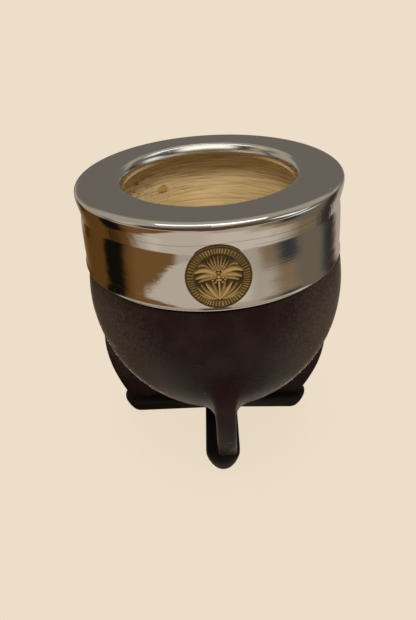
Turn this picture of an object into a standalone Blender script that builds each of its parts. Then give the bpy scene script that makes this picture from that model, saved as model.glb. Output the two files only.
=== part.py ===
"""Mate gourd cup: a calabash shell in a leather skin with four legs, under a steel collar.

The cup stands on z = 0 with its axis on Z, its front leg and its medallion towards -Y.
Lengths are in millimetres here and become metres in the meshes. Heights count from the floor.
"""
import math

import bmesh
import bpy
import numpy as np

MM = 0.001
GAP = 0.3                      # clearance between neighbouring pieces

# Whole cup
HEIGHT = 111.25                # top of the steel plate, at its inner edge
TURN_STEPS = 48                # facets round a turned piece

# Belly: two half ellipsoids that share the widest circle
BELLY_RADIUS = 49.5
BELLY_SHIFT = 0.45             # the skin bulges a little more towards +X
BELLY_WIDEST_Z = 67.5
BELLY_LOW_HALF = 54.0          # semi-height below the widest circle
BELLY_HIGH_HALF = 50.0         # semi-height above it
BELLY_STEPS = 10               # points of the turned outline from the widest circle down
LEATHER = 2.2                  # thickness of the skin
LEATHER_TOP_Z = 89.5           # the skin ends here, under the band
TUCK_RADIUS = 46.2             # the skin is pressed in under the band
TUCK_Z = 81.8                  # just above this height the skin is pressed in
TUCK_STEP = 0.6                # the pressed part's draw-in, and its rounded edge
LINING_TOP_Z = 79.8            # the turned inside starts here

# Legs: name, azimuth of its arm of the sole in degrees from the front, shift of the leg across
# that arm, reach where the leg is widest, reach at the sole
LEGS = (("front", -0.6, 1.9, 48.6, 40.8),
        ("right", 86.0, 0.0, 45.6, 35.9),
        ("back", 180.0, 0.0, 48.6, 39.5),
        ("left", -91.0, 0.0, 48.6, 41.5))
LEG_HALF_WIDTH = 3.8
LEG_EDGE = 2.0                 # rounding of a leg's edges
LEG_WIDEST_Z = 37.0
LEG_CURVE = 1.8                # power of the curve that draws a leg in towards its sole
LEG_RELEASE = 0.0155           # how fast a leg sinks into the belly above its widest height
LEG_FILLET = 6.0               # how softly a leg runs into the belly

# Rings of the skin
LEG_ROWS = 4
BELLY_ROWS = 14
HIGH_ROWS = 3
NEAR_LEG = (0.0, 2.5, 4.2, 5.4, 7.0, 10.0, 15.0)     # degrees from a leg's middle
BETWEEN_LEGS = 8               # even azimuths from one leg's surroundings to the next
HALVINGS = 40                  # steps of the search for the skin along a ray from the axis

# Sole: a thick cross with round ends under the legs
SOLE_HALF_WIDTH = 6.95
SOLE_THICK = 8.0
SOLE_OVERHANG = 2.6            # beyond the leg above it
SOLE_RINGS = ((0.0, 2.8), (0.1, 2.2), (0.75, 0.0), (1.0, 0.7))   # part of the height, inset

# Gourd shell
SHELL = 6.5
SHELL_FLOOR = 9.0
MOUTH_RADIUS = 33.4
MOUTH_CHAMFER = 1.0            # the mouth's edge leaves room for the collar's lip
NECK_TOP_Z = HEIGHT - 6.5      # the mouth's wall is upright above this
NECK_BOTTOM_Z = 71.5           # the cavity is widest up to this height
MOUTH_TOP_Z = HEIGHT - 1.8
MOUTH_TOP_RADIUS = 37.5
SHOULDER_RADIUS = 43.6         # outside of the shell under the top of the leather
SHOULDER_Z = 88.5

# Steel collar
SHEET = 1.0
PLATE_RADIUS = 41.7            # the plate bends down outside this circle
PLATE_FALL = 0.15              # its slope from the lip out to that circle
RIM_RADIUS = 47.85             # widest line of the rim
RIM_DROP = 2.35
RIM_POWER = 3.3                # 2 would be an ellipse; more makes a tighter corner
BAND_SLOPES = ((RIM_DROP, 0.0), (4.2, -0.2), (8.9, -0.16), (9.9, 0.2),
               (13.5, 0.07), (25.4, 0.01), (29.0, 0.25))     # drop, change of radius with drop
BAND_DROP = 29.0               # foot of the band
BAND_STEPS = 600               # steps in which the slopes are added up
BEAD = 0.45                    # rolled edge along the foot of the band
LIP_RADIUS = 31.6              # inside of the mouth
LIP_ACROSS = 1.9               # from the mouth to the flat plate
LIP_DEEP = 4.0                 # from the plate down to the upright skirt
SKIRT_DROP = 4.4

# Medallion on the band
MEDAL_RADIUS = 10.5
MEDAL_AZIMUTH = 1.7
MEDAL_BEND = 48.4              # radius of the bend round the band
MEDAL_DROP = 17.15             # centre below the top of the plate
MEDAL_THICK = 1.0
MEDAL_RIM = 0.5                # border above the field
MEDAL_STEPS = 40
MEDAL_PETALS = 8
MEDAL_RELIEF = 0.35


def clear_scene():
    """Remove every object of the open file."""
    for item in list(bpy.data.objects):
        bpy.data.objects.remove(item, do_unlink=True)


def material(name, colour, roughness, metallic=0.0):
    """A plain surface of one colour."""
    made = bpy.data.materials.new(name)
    made.use_nodes = True
    shader = made.node_tree.nodes["Principled BSDF"]
    shader.inputs["Base Color"].default_value = (*colour, 1.0)
    shader.inputs["Roughness"].default_value = roughness
    shader.inputs["Metallic"].default_value = metallic
    return made


def add_object(name, mesh, look):
    """Put a mesh into the scene with its material."""
    piece = bpy.data.objects.new(name, mesh)
    mesh.materials.append(look)
    mesh.shade_smooth()
    mesh.set_sharp_from_angle(angle=math.radians(40.0))
    bpy.context.scene.collection.objects.link(piece)
    return piece


def arc(centre, radii, start, end, count):
    """Points of an elliptic arc; angles in degrees, 0 along +X and 90 along +Z."""
    angles = np.radians(np.linspace(start, end, count))
    return [(centre[0] + radii[0] * math.cos(a), centre[1] + radii[1] * math.sin(a)) for a in angles]


def turned(name, profile, closed, look):
    """Turn a profile of (radius, height) points about Z with a Screw modifier.

    The profile runs down its outer side. An open one starts and ends on the axis.
    """
    mesh = bpy.data.meshes.new(name)
    points = [(radius * MM, 0.0, height * MM) for radius, height in profile]
    edges = [(i, i + 1) for i in range(len(points) - 1)]
    if closed:
        edges.append((len(points) - 1, 0))
    mesh.from_pydata(points, edges, [])
    piece = add_object(name, mesh, look)
    screw = piece.modifiers.new("turn", "SCREW")
    screw.axis = "Z"
    screw.steps = TURN_STEPS
    screw.render_steps = TURN_STEPS
    screw.use_merge_vertices = True
    screw.merge_threshold = 0.00001
    screw.use_smooth_shade = True
    return piece


def loft(name, rings, poles, look):
    """Join closed rings of equally many points into one body that ends in two pole points."""
    shape = bmesh.new()
    loops = []
    for ring in rings:
        loops.append([shape.verts.new(tuple(point * MM)) for point in ring])
    for low, high in zip(loops, loops[1:]):
        count = len(low)
        for i in range(count):
            j = (i + 1) % count
            shape.faces.new((low[i], low[j], high[j], high[i]))
    for loop, point in zip((loops[0], loops[-1]), poles):
        pole = shape.verts.new(tuple(np.array(point) * MM))
        count = len(loop)
        for i in range(count):
            shape.faces.new((loop[i], loop[(i + 1) % count], pole))
    bmesh.ops.recalc_face_normals(shape, faces=shape.faces)
    mesh = bpy.data.meshes.new(name)
    shape.to_mesh(mesh)
    shape.free()
    return add_object(name, mesh, look)


def belly_radius(height, inset=0.0):
    """Radius of the belly at a height, drawn in evenly by inset."""
    radius = BELLY_RADIUS - inset
    half = (BELLY_LOW_HALF if height < BELLY_WIDEST_Z else BELLY_HIGH_HALF) - inset
    share = min(abs(height - BELLY_WIDEST_Z) / half, 1.0)
    return radius * math.sqrt(1.0 - share * share)


def belly_profile(inset, top, count):
    """Belly outline from the given height down to the axis, in even steps of angle."""
    bottom_half = BELLY_LOW_HALF - inset
    points = [(belly_radius(z, inset), z) for z in np.linspace(top, BELLY_WIDEST_Z, 4)[:-1]]
    points += arc((0.0, BELLY_WIDEST_Z), (BELLY_RADIUS - inset, bottom_half), 0.0, -90.0, count)
    points[-1] = (0.0, points[-1][1])
    return points


def leg_reach(height, widest, foot):
    """Outer edge of a leg at each height: out of the belly, then drawn in to its sole."""
    above = np.maximum(height - LEG_WIDEST_Z, 0.0)
    below = np.maximum(LEG_WIDEST_Z - height, 0.0) / (LEG_WIDEST_Z - SOLE_THICK - GAP)
    return widest - LEG_RELEASE * above ** 2 - (widest - foot) * below ** LEG_CURVE


def soft_union(first, second, width):
    """Smaller of two distances, rounded over the given width where they meet."""
    share = np.clip(0.5 + 0.5 * (second - first) / width, 0.0, 1.0)
    return second + (first - second) * share - width * share * (1.0 - share)


def leather_distance(x, y, z):
    """Distance to the skin's outside: the belly and four upright legs, softly joined."""
    half = np.where(z < BELLY_WIDEST_Z, BELLY_LOW_HALF, BELLY_HIGH_HALF)
    level = (z - BELLY_WIDEST_Z) / half
    reach = np.hypot(x - BELLY_SHIFT, y) / BELLY_RADIUS
    size = np.hypot(reach, level)
    slope = np.hypot(reach / BELLY_RADIUS, level / half)
    found = size * (size - 1.0) / np.maximum(slope, 1e-9)
    for _, azimuth, shift, widest, foot in LEGS:
        turn = math.radians(azimuth)
        along = x * math.sin(turn) - y * math.cos(turn)
        across = x * math.cos(turn) + y * math.sin(turn) - shift
        sides = np.abs(across) - (LEG_HALF_WIDTH - LEG_EDGE)
        tip = np.maximum(along - leg_reach(z, widest, foot) + LEG_EDGE, -along)
        outside = np.hypot(np.maximum(sides, 0.0), np.maximum(tip, 0.0))
        leg = outside + np.minimum(np.maximum(sides, tip), 0.0) - LEG_EDGE
        found = soft_union(found, leg, LEG_FILLET)
    return np.maximum(found, SOLE_THICK + GAP - z)


def ring_azimuths():
    """Azimuths in radians once round, close together at the legs and even between them."""
    legs = sorted(leg[1] % 360.0 for leg in LEGS)
    angles = []
    for leg, following in zip(legs, legs[1:] + [legs[0] + 360.0]):
        angles += [leg + offset for offset in NEAR_LEG[:-1]]
        angles += list(np.linspace(leg + NEAR_LEG[-1], following - NEAR_LEG[-1], BETWEEN_LEGS))
        angles += [following - offset for offset in reversed(NEAR_LEG[1:-1])]
    return np.radians(np.array(angles))


def leather_heights():
    """Heights of the skin's rings: even below the belly, then even in angle up the belly."""
    bottom = SOLE_THICK + GAP
    lowest = BELLY_WIDEST_Z - BELLY_LOW_HALF
    legs = np.linspace(bottom, lowest, LEG_ROWS, endpoint=False)
    turn = np.radians(np.linspace(88.0, 0.0, BELLY_ROWS))
    belly = BELLY_WIDEST_Z - BELLY_LOW_HALF * np.sin(turn)
    high = np.linspace(BELLY_WIDEST_Z, TUCK_Z - TUCK_STEP, HIGH_ROWS + 1)[1:]
    return np.concatenate([legs, belly, high])


def leather_rings():
    """Rings of the skin from its lowest up the outside and down the inside."""
    azimuths = ring_azimuths()
    side = np.sin(azimuths)
    front = -np.cos(azimuths)
    rings = []
    for height in leather_heights():
        near = np.zeros_like(azimuths)
        far = np.full_like(azimuths, 2.0 * BELLY_RADIUS)
        for _ in range(HALVINGS):
            middle = 0.5 * (near + far)
            inside = leather_distance(middle * side, middle * front, height + 0.001) < 0.0
            near = np.where(inside, middle, near)
            far = np.where(inside, far, middle)
        rings.append(np.stack([near * side, near * front, np.full_like(near, height)], axis=1))
    lining = [(TUCK_RADIUS, TUCK_Z), (TUCK_RADIUS - TUCK_STEP, LEATHER_TOP_Z)]
    lining += [(TUCK_RADIUS - LEATHER, LEATHER_TOP_Z)]
    lining += belly_profile(LEATHER, LINING_TOP_Z, BELLY_STEPS)[:-1]
    for radius, height in lining:
        rings.append(np.stack([radius * side, radius * front, np.full_like(side, height)], axis=1))
    return rings


def make_leather():
    look = material("leather", (0.024, 0.010, 0.009), 0.5)
    outer_pole = (0.0, 0.0, SOLE_THICK + GAP)
    inner_pole = (0.0, 0.0, BELLY_WIDEST_Z - BELLY_LOW_HALF + LEATHER)
    return loft("leather_cover", leather_rings(), (outer_pole, inner_pole), look)


def sole_outline(inset):
    """Outline of the cross: for each azimuth the farthest arm end or arm side."""
    width = SOLE_HALF_WIDTH - inset
    azimuths = ring_azimuths()
    radius = np.zeros_like(azimuths)
    for _, azimuth, _, _, foot in LEGS:
        off = np.abs((azimuths - math.radians(azimuth) + math.pi) % (2.0 * math.pi) - math.pi)
        ahead = off < math.radians(89.0)
        sine = np.maximum(np.sin(off), 1e-6)
        hub = foot + SOLE_OVERHANG - SOLE_HALF_WIDTH
        flank = width / sine
        root = np.maximum(width * width - (hub * sine) ** 2, 0.0)
        end = hub * np.cos(off) + np.sqrt(root)
        reach = np.where((hub * sine < width) & (flank * np.cos(off) > hub), end, flank)
        radius = np.where(ahead, np.maximum(radius, reach), radius)
    return azimuths, radius


def make_sole():
    rings = []
    for share, inset in SOLE_RINGS:
        azimuths, radius = sole_outline(inset)
        height = np.full_like(radius, share * SOLE_THICK)
        rings.append(np.stack([radius * np.sin(azimuths), -radius * np.cos(azimuths), height], axis=1))
    look = material("sole_leather", (0.014, 0.009, 0.008), 0.6)
    return loft("sole", rings, ((0.0, 0.0, 0.0), (0.0, 0.0, SOLE_THICK)), look)


def make_gourd():
    """Turned calabash shell: up the inside from its floor, over the mouth and down the outside."""
    outer_inset = LEATHER + GAP
    inside_radius = BELLY_RADIUS - outer_inset - SHELL
    floor = BELLY_WIDEST_Z - BELLY_LOW_HALF + outer_inset + SHELL_FLOOR
    cavity = arc((0.0, BELLY_WIDEST_Z), (inside_radius, BELLY_WIDEST_Z - floor), -90.0, 0.0, 8)
    cavity[0] = (0.0, floor)
    neck_size = (inside_radius - MOUTH_RADIUS, NECK_TOP_Z - NECK_BOTTOM_Z)
    neck = arc((MOUTH_RADIUS, NECK_BOTTOM_Z), neck_size, 0.0, 90.0, 6)
    top = [(MOUTH_RADIUS, MOUTH_TOP_Z - MOUTH_CHAMFER - 1.0)]
    top += [(MOUTH_RADIUS + MOUTH_CHAMFER, MOUTH_TOP_Z), (MOUTH_TOP_RADIUS, MOUTH_TOP_Z)]
    shoulder_size = (SHOULDER_RADIUS - MOUTH_TOP_RADIUS, MOUTH_TOP_Z - 4.0 - SHOULDER_Z)
    shoulder = arc((MOUTH_TOP_RADIUS, SHOULDER_Z), shoulder_size, 90.0, 0.0, 5)
    outside = belly_profile(outer_inset, LINING_TOP_Z, BELLY_STEPS)
    look = material("gourd", (0.55, 0.38, 0.19), 0.7)
    return turned("gourd", cavity + neck + top + shoulder + outside, False, look)


def band_radius(drop):
    """Outside of the collar under its rim: the slopes added up from the rim down to the drop."""
    depths = np.linspace(RIM_DROP, BAND_DROP, BAND_STEPS)
    slopes = np.interp(depths, *zip(*BAND_SLOPES))
    steps = 0.5 * (slopes[1:] + slopes[:-1]) * np.diff(depths)
    return float(np.interp(drop, depths, RIM_RADIUS + np.concatenate([[0.0], np.cumsum(steps)])))


def rim_profile(count):
    """Plate's outer part: a quarter of a squarish ellipse from the plate down to the widest line."""
    points = []
    for angle in np.radians(np.linspace(90.0, 0.0, count)):
        out = math.cos(angle) ** (2.0 / RIM_POWER)
        up = max(math.sin(angle), 0.0) ** (2.0 / RIM_POWER)
        radius = PLATE_RADIUS + (RIM_RADIUS - PLATE_RADIUS) * out
        points.append((radius, HEIGHT - RIM_DROP + (RIM_DROP - PLATE_FALL) * up))
    return points


def make_collar():
    """Turned steel sheet: lip, plate, rim, neck and band, then back up the inside."""
    lip_centre = (LIP_RADIUS + LIP_ACROSS, HEIGHT - LIP_DEEP)
    lip = [(LIP_RADIUS, HEIGHT - SKIRT_DROP)] + arc(lip_centre, (LIP_ACROSS, LIP_DEEP), 180.0, 90.0, 6)
    band = [(band_radius(drop), HEIGHT - drop) for drop in (4.2, 6.5, 8.9, 9.9, 11.5, 13.5, 19.0, 25.4, 27.2)]
    foot_radius = band_radius(BAND_DROP)
    bead_centre = (foot_radius - 0.1, HEIGHT - BAND_DROP + BEAD)
    bead = arc(bead_centre, (BEAD, BEAD), 60.0, -90.0, 4)
    inner_band = [(band_radius(drop) - SHEET, HEIGHT - drop) for drop in (27.6, 25.4, 18.0, 9.4, 4.2)]
    under = [(RIM_RADIUS - SHEET - 1.2, HEIGHT - SHEET - 0.4), (LIP_RADIUS + LIP_ACROSS, HEIGHT - SHEET)]
    inner_lip = arc(lip_centre, (LIP_ACROSS - SHEET, LIP_DEEP - SHEET), 90.0, 180.0, 4)[1:]
    end = [(LIP_RADIUS + SHEET, HEIGHT - SKIRT_DROP)]
    profile = lip + rim_profile(8) + band + bead + inner_band + under + inner_lip + end
    return turned("collar", profile, True, material("steel", (0.62, 0.60, 0.57), 0.08, 1.0))


def medal_height(share, angle):
    """Relief above the medallion's back: a raised border round a flower of even petals."""
    border = 1.0 if share > 0.86 else 0.0
    petals = 0.5 + 0.5 * math.cos(MEDAL_PETALS * angle)
    flower = math.sin(math.pi * min(share / 0.72, 1.0)) * petals
    return MEDAL_THICK - MEDAL_RIM + border * MEDAL_RIM + MEDAL_RELIEF * flower


def medal_point(share, angle, height):
    """A point of the medallion, bent round the band at its azimuth."""
    drop = MEDAL_DROP - share * MEDAL_RADIUS * math.sin(angle)
    base = max(band_radius(drop + shift) for shift in (-0.5, 0.0, 0.5)) + GAP
    turn = math.radians(MEDAL_AZIMUTH) + share * MEDAL_RADIUS * math.cos(angle) / MEDAL_BEND
    radius = base + height
    return np.array([radius * math.sin(turn), -radius * math.cos(turn), HEIGHT - drop])


def make_medallion():
    angles = np.linspace(0.0, 2.0 * math.pi, MEDAL_STEPS, endpoint=False)
    back = [[medal_point(share, a, 0.0) for a in angles] for share in (0.05, 0.35, 0.7, 1.0)]
    shares = (1.0, 0.96, 0.87, 0.85, 0.72, 0.54, 0.36, 0.18, 0.05)
    front = [[medal_point(share, a, medal_height(share, a)) for a in angles] for share in shares]
    poles = (medal_point(0.0, 0.0, 0.0), medal_point(0.0, 0.0, medal_height(0.0, 0.0)))
    return loft("medallion", back + front, poles, material("brass", (0.55, 0.40, 0.16), 0.4, 1.0))


clear_scene()
make_gourd()
make_leather()
make_sole()
make_collar()
make_medallion()
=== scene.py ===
"""Mate gourd cup for Blender 4.5: a calabash shell in a leather skin, under a steel collar.

Every piece is a surface worked out as whole arrays, in metres, in the frame of the CAD model:
floor at z = 0, axis on Z, front leg and medallion towards -Y. Azimuths count from the front
towards +X, drops count down from the top of the steel plate.
"""
import math

import bpy
import numpy as np
from bpy.props import FloatProperty, FloatVectorProperty, PointerProperty
from mathutils import Matrix


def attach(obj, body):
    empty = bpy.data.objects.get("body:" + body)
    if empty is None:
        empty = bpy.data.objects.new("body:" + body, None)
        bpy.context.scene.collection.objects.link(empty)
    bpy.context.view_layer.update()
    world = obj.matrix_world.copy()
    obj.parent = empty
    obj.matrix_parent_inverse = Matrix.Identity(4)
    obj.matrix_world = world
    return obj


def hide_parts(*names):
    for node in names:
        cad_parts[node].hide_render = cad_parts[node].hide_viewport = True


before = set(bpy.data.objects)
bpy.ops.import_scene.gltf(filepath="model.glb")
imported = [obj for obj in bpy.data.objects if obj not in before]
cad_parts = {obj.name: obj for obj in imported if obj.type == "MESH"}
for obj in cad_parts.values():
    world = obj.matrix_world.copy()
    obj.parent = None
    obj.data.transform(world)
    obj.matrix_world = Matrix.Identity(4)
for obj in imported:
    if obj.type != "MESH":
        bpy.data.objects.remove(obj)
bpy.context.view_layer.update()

bl_info = {
    "name": "Mate gourd cup",
    "version": (1, 0, 0),
    "blender": (4, 5, 0),
    "location": "3D View > Sidebar > Mate cup",
    "description": "Builds a leather covered gourd cup with its steel collar, and a stage for it",
    "category": "Add Mesh",
}

MM = 0.001
GAP = 0.3

# Sizes shared with the CAD model, in millimetres
HEIGHT = 111.25
BELLY_RADIUS = 49.5
BELLY_SHIFT = 0.45
BELLY_WIDEST_Z = 67.5
BELLY_LOW_HALF = 54.0
BELLY_HIGH_HALF = 50.0
LEATHER = 2.2
LEATHER_TOP_Z = 89.5
TUCK_RADIUS = 46.2
TUCK_Z = 81.8
TUCK_STEP = 0.6
LINING_TOP_Z = 79.8
# Each leg's azimuth, shift to the side, reach at its widest and reach at the foot
LEGS = (("front", -0.6, 1.9, 48.6, 40.8),
        ("right", 86.0, 0.0, 45.6, 35.9),
        ("back", 180.0, 0.0, 48.6, 39.5),
        ("left", -91.0, 0.0, 48.6, 41.5))
LEG_HALF_WIDTH = 3.8
LEG_EDGE = 2.0
LEG_WIDEST_Z = 37.0
LEG_CURVE = 1.8
LEG_RELEASE = 0.0155
LEG_FILLET = 6.0
SOLE_HALF_WIDTH = 6.95
SOLE_THICK = 8.0
SOLE_OVERHANG = 2.6
SHELL = 6.5
SHELL_FLOOR = 9.0
MOUTH_RADIUS = 33.4
MOUTH_CHAMFER = 1.0
NECK_TOP_Z = HEIGHT - 6.5
NECK_BOTTOM_Z = 71.5
MOUTH_TOP_Z = HEIGHT - 1.8
MOUTH_TOP_RADIUS = 37.5
SHOULDER_RADIUS = 43.6
SHOULDER_Z = 88.5
SHEET = 1.0
PLATE_RADIUS = 41.7
PLATE_FALL = 0.15
RIM_RADIUS = 47.85
RIM_DROP = 2.35
RIM_POWER = 3.3
BAND_SLOPES = ((RIM_DROP, 0.0), (4.2, -0.2), (8.9, -0.16), (9.9, 0.2), (13.5, 0.07), (25.4, 0.01),
               (29.0, 0.25))
BAND_DROP = 29.0
BAND_STEPS = 600
BEAD = 0.45
LIP_RADIUS = 31.6
LIP_ACROSS = 1.9
LIP_DEEP = 4.0
SKIRT_DROP = 4.4
MEDAL_RADIUS = 10.5
MEDAL_AZIMUTH = 1.7
MEDAL_DROP = 17.15
MEDAL_BEND = 48.4
MEDAL_FACE = 0.25
MEDAL_SEAT = 0.08

# The lip that shows is rolled in and reaches down a little further than the CAD collar's
LIP_ROLL = 0.45
SKIRT_REACH = 0.2

# Marks on a wall: azimuth, radius and height, half sizes across and up, softness of the border
# Painted shade: the hollow over the front leg, where the skin faces down, is painted darker and redder
HOLLOW_SHADE_SPOT = (3.0, 41.0, 50.0, (11.0, 8.0), 0.8)
# Painted sheen: paler, speckled patches on the skin's left and right sides stand in for its reflection of the
# room
LEFT_SHEEN_SPOT = (-64.0, 47.0, 56.0, (21.0, 21.0), 0.95)
RIGHT_SHEEN_SPOT = (62.0, 47.0, 57.0, (20.0, 21.0), 0.95)
CRACKED_SPOT = (-138.0, 37.0, 94.5, (17.0, 8.0), 0.8)
SCRATCHED_SPOT = (-127.0, 36.0, 97.5, (8.0, 4.0), 0.6)
CHIP_RIM = (-149.0, 37.7, 92.6, (2.5, 1.9), 0.25)
CHIP = (-149.0, 37.7, 92.9, (2.3, 1.3), 0.2)
MARK_COLOUR = (0.10, 0.055, 0.02)
CHIP_RIM_COLOUR = (0.16, 0.075, 0.02)
CHIP_COLOUR = (0.62, 0.36, 0.125)

# Painted reflection: dark lines of reflected edges, painted into the steel's colour: drop, and the azimuths
# that they run between
REFLECTED_EDGE_LINES = ((6.4, -32.0, 62.0), (8.4, 12.0, 44.0))
REFLECTED_EDGE_COLOUR = (0.30, 0.26, 0.22)
DUST_COLOUR = (0.9, 0.88, 0.84)

# Heights where the skin's dents and the cavity's unevenness fade out, and over how far
DENTS_LOW = (24.0, 14.0)
DENTS_HIGH = (82.0, 8.0)
SCRAPED_HIGH = (NECK_TOP_Z, 10.0)

# Steps of the surfaces
RAY_HALVINGS = 32
RAY_LIFT = 0.001
GOURD_COLUMNS = 256
COLLAR_COLUMNS = 320
MEDAL_COLUMNS = 304
WAVE_RADIUS = 49.0
WAVE_PHASES = 6.28

# Camera of the picture: place in metres, and its right and up directions
CAMERA_PLACE = (0.0, -0.189844, 0.175894)
CAMERA_RIGHT = (0.998251, -0.019161, -0.055925)
CAMERA_UP = (0.057266, 0.548376, 0.834269)
CAMERA_LENS = 31.463

# Leaves on both sides of the medallion's stem: start, bend, end, half width and height
LEAF_PAIRS = (((0.02, -0.62), (0.12, -0.36), (0.19, -0.10), 0.060, 0.60),
              ((0.03, -0.64), (0.21, -0.42), (0.38, -0.14), 0.075, 0.95),
              ((0.05, -0.65), (0.34, -0.50), (0.53, -0.20), 0.062, 0.60),
              ((0.07, -0.66), (0.44, -0.56), (0.65, -0.26), 0.055, 0.85),
              ((0.10, -0.68), (0.36, -0.67), (0.58, -0.47), 0.055, 0.70),
              ((0.10, 0.17), (0.36, 0.40), (0.68, 0.20), 0.110, 1.00),
              ((0.10, 0.09), (0.40, 0.18), (0.66, 0.00), 0.090, 0.80),
              ((0.14, 0.00), (0.36, 0.04), (0.58, -0.10), 0.070, 0.65),
              ((0.32, 0.38), (0.46, 0.50), (0.58, 0.38), 0.060, 0.60))

# Share of light that the polished steel gives back
STEEL_GAIN = 0.88

# Screen colours of what the steel shows of its surroundings
TONES = {
    "bright": (184, 171, 155), "clear": (174, 161, 145), "light": (158, 146, 130), "pale": (150, 142, 127),
    "grey": (101, 95, 88), "tan": (118, 99, 74), "olive": (99, 89, 75), "smoke": (62, 61, 60),
    "slate": (52, 51, 52), "soot": (50, 43, 37), "brown": (104, 73, 40), "umber": (84, 55, 22),
    "bark": (52, 31, 11), "black": (15, 12, 9), "dusk": (78, 60, 48), "night": (52, 39, 29),
    "lamp": (226, 226, 220), "flare": (255, 255, 250), "glow": (188, 173, 150),
}

# Their order round the compass, each with the azimuths where it is pure. Every further layer takes over
# between two distances from the axis, in metres, or between two heights over the horizon, in degrees.
FLOOR_LAYERS = (
    (None, (("light", -180, -140), ("brown", -126), ("umber", -100, -84), ("brown", -70), ("light", -60),
            ("bright", -50, 50), ("light", 62), ("tan", 78, 104), ("olive", 112), ("light", 125))),
    ((0.150, 0.195),
     (("light", -152), ("tan", -143), ("brown", -134), ("umber", -124, -97), ("black", -94, -76),
      ("umber", -71), ("brown", -62, -30), ("light", -28, -14), ("bright", -9, 24), ("light", 30, 44),
      ("tan", 54, 64), ("olive", 70, 95), ("smoke", 101), ("soot", 107, 116), ("olive", 122),
      ("light", 128))),
    ((0.235, 0.285),
     (("umber", -156), ("tan", -149), ("light", -141), ("brown", -133), ("bark", -126), ("umber", -117, -98),
      ("black", -96, -76), ("umber", -73), ("brown", -62, -30), ("light", -28, 34), ("tan", 39, 47),
      ("olive", 51), ("slate", 54, 67), ("olive", 72, 97), ("smoke", 102), ("soot", 108, 118), ("grey", 122),
      ("light", 127, 160), ("umber", 178))),
)
ROOM_LAYERS = (
    (None, (("grey", -160), ("pale", -148, -115), ("olive", -104), ("smoke", -90), ("light", -80, -14),
            ("dusk", -9, 9), ("light", 14, 75), ("olive", 86, 104), ("soot", 114, 124), ("grey", 132))),
    ((10.0, 17.0),
     (("grey", -150), ("pale", -138, -118), ("grey", -106), ("olive", -88), ("brown", -76, -60),
      ("night", -48, -30), ("dusk", -14, 20), ("night", 40), ("smoke", 58, 78), ("grey", 86, 108),
      ("olive", 120), ("pale", 132), ("grey", 148))),
    ((28.0, 34.0),
     (("pale", -160, -116), ("olive", -105), ("light", -92), ("olive", -80), ("night", -62, -16),
      ("dusk", 0, 45), ("olive", 60, 118), ("pale", 132))),
    ((44.0, 52.0),
     (("light", -176), ("pale", -165, -118), ("tan", -100), ("dusk", -80, 60), ("olive", 90, 130),
      ("tan", 148), ("light", 164))),
    ((66.0, 80.0),
     (("tan", -165), ("olive", -110), ("dusk", -60, 70), ("olive", 120), ("light", 165))),
)

# Soft lamps in the room: azimuth and height, half sizes, softness of the edge, tone
ROOM_LAMPS = (((98, 46), (17, 6), 0.5, "lamp"), ((107, 57), (14, 7), 0.4, "flare"),
              ((138, 26), (7, 4), 0.5, "pale"), ((-97, 46), (14, 7), 0.6, "glow"),
              ((178, 58), (20, 7), 0.5, "lamp"), ((172, 68), (14, 8), 0.8, "glow"),
              ((-120, 57), (8, 5), 0.8, "glow"), ((80, 12), (15, 8), 0.5, "lamp"),
              ((-73, 26), (9, 10), 0.6, "pale"), ((-105, 14), (11, 9), 0.6, "pale"))

# The mirrored floor: how fine its combed borders are, and the edges of its lit board in metres
COMB_SIDEWAYS = 0.03
COMB_OUTWARDS = 430.0
COMB_SHIFT = 0.0035
BOARD_SIDE = (-0.167, -0.161)
BOARD_FRONT = (-0.118, -0.106)
BOARD_END = (-0.03, 0.01)
SHADE_REACH = 0.035
FLOOR_HALF = 12.0

# Lamps: the key light's parts with their azimuths and shares, and the panel over the mouth, in metres
KEY_PARTS = (("key_left", -30.0, 0.42), ("key", 4.0, 0.19), ("key_right", 36.0, 0.39))
KEY_HEIGHT = 54.0
KEY_WIDTH = 13.0
KEY_COLOUR = (1.0, 0.94, 0.84)
FILL_COLOUR = (1.0, 0.96, 0.9)
CARD_PLACE = (0.0, 0.022, 0.194)
CARD_SIZE = (0.080, 0.022)

# The lit screen over the mouth: lower and upper edge (y, z), half width, and its glow from below
SCREEN_LOW = (-0.033, 0.112)
SCREEN_HIGH = (0.004, 0.194)
SCREEN_HALF = 0.040
SCREEN_FADE_Z = 0.180
SCREEN_STRENGTH = 1.15
SCREEN_GLOW = ((0.0, (88, 74, 60)), (0.08, (92, 80, 68)), (0.14, (112, 106, 90)),
               (0.21, (135, 130, 112)), (0.30, (215, 210, 188)), (0.38, (255, 252, 228)))


# Meshes

def new_object(name, data):
    """Put a mesh, a lamp or a camera into the scene."""
    item = bpy.data.objects.new(name, data)
    bpy.context.scene.collection.objects.link(item)
    return item


def new_mesh(name, points, faces, look):
    """Make an object of points in metres."""
    mesh = bpy.data.meshes.new(name)
    mesh.from_pydata(points, [], faces)
    mesh.update()
    mesh.materials.append(look)
    return new_object(name, mesh)


def triangle_volume(points, corners):
    """Six times the signed volume between triangles and the origin."""
    first, second, third = (points[corners[:, i]] for i in range(3))
    return np.einsum("ij,ij->i", first, np.cross(second, third)).sum()


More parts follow.
